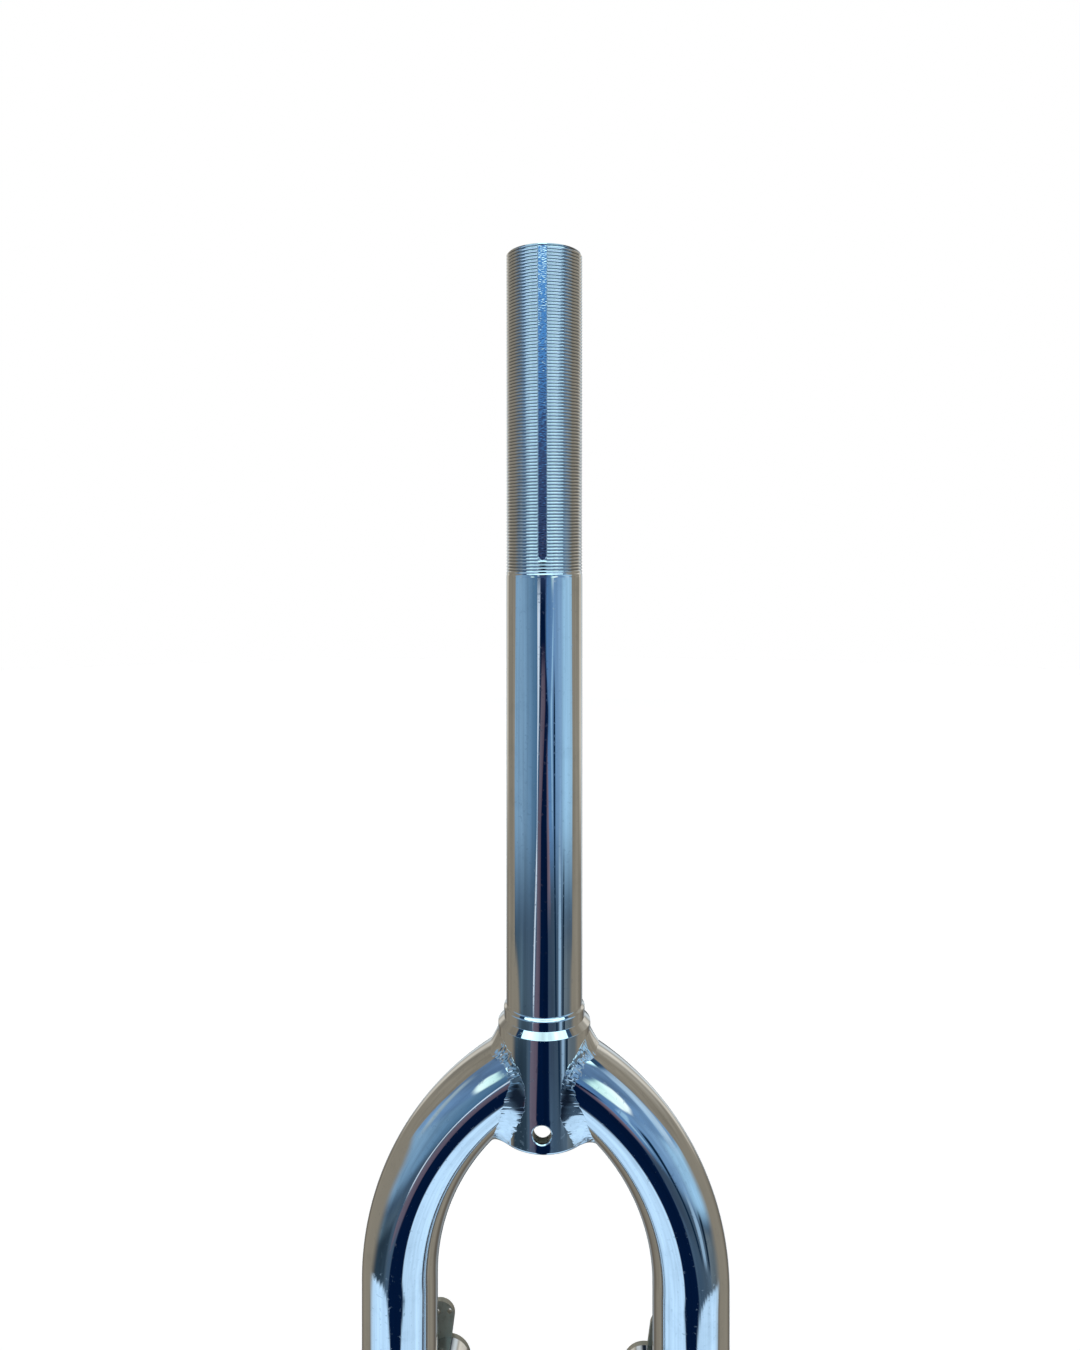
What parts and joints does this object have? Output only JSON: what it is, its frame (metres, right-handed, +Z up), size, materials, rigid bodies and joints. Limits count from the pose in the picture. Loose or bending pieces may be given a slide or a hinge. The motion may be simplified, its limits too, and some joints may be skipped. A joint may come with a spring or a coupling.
{
  "type": "rigid bicycle fork",
  "caption": "Welded, chrome-plated bicycle fork with a threaded steerer, bent legs, rim-brake bosses and slotted dropouts for the front wheel.",
  "frame": {"origin": "on the steerer's axis, level with the shoulder that the crown race sits on", "axes": "+Z up the steerer towards its threaded end, +Y forward, +X to the rider's right"},
  "size_m": [0.1256, 0.0684, 0.6477],
  "materials": {
    "polished_chrome": "bright plating on drawn tube, with faint polishing lines",
    "turned_chrome": "bright plating on turned steel, with fine lathe lines",
    "stamped_chrome": "dull plating on stamped plate, left unpolished",
    "weld_chrome": "plating over a rippled weld bead"
  },
  "bodies": {
    "root": {"steerer_tube": "turned_chrome", "left_leg": "polished_chrome", "right_leg": "polished_chrome", "left_crown_weld": "weld_chrome", "right_crown_weld": "weld_chrome", "left_dropout": "polished_chrome", "right_dropout": "polished_chrome", "left_dropout_weld": "weld_chrome", "right_dropout_weld": "weld_chrome", "left_brake_boss": "turned_chrome", "right_brake_boss": "turned_chrome", "left_boss_weld": "weld_chrome", "right_boss_weld": "weld_chrome", "left_spring_plate": "stamped_chrome", "right_spring_plate": "stamped_chrome"}
  },
  "joints": []
}
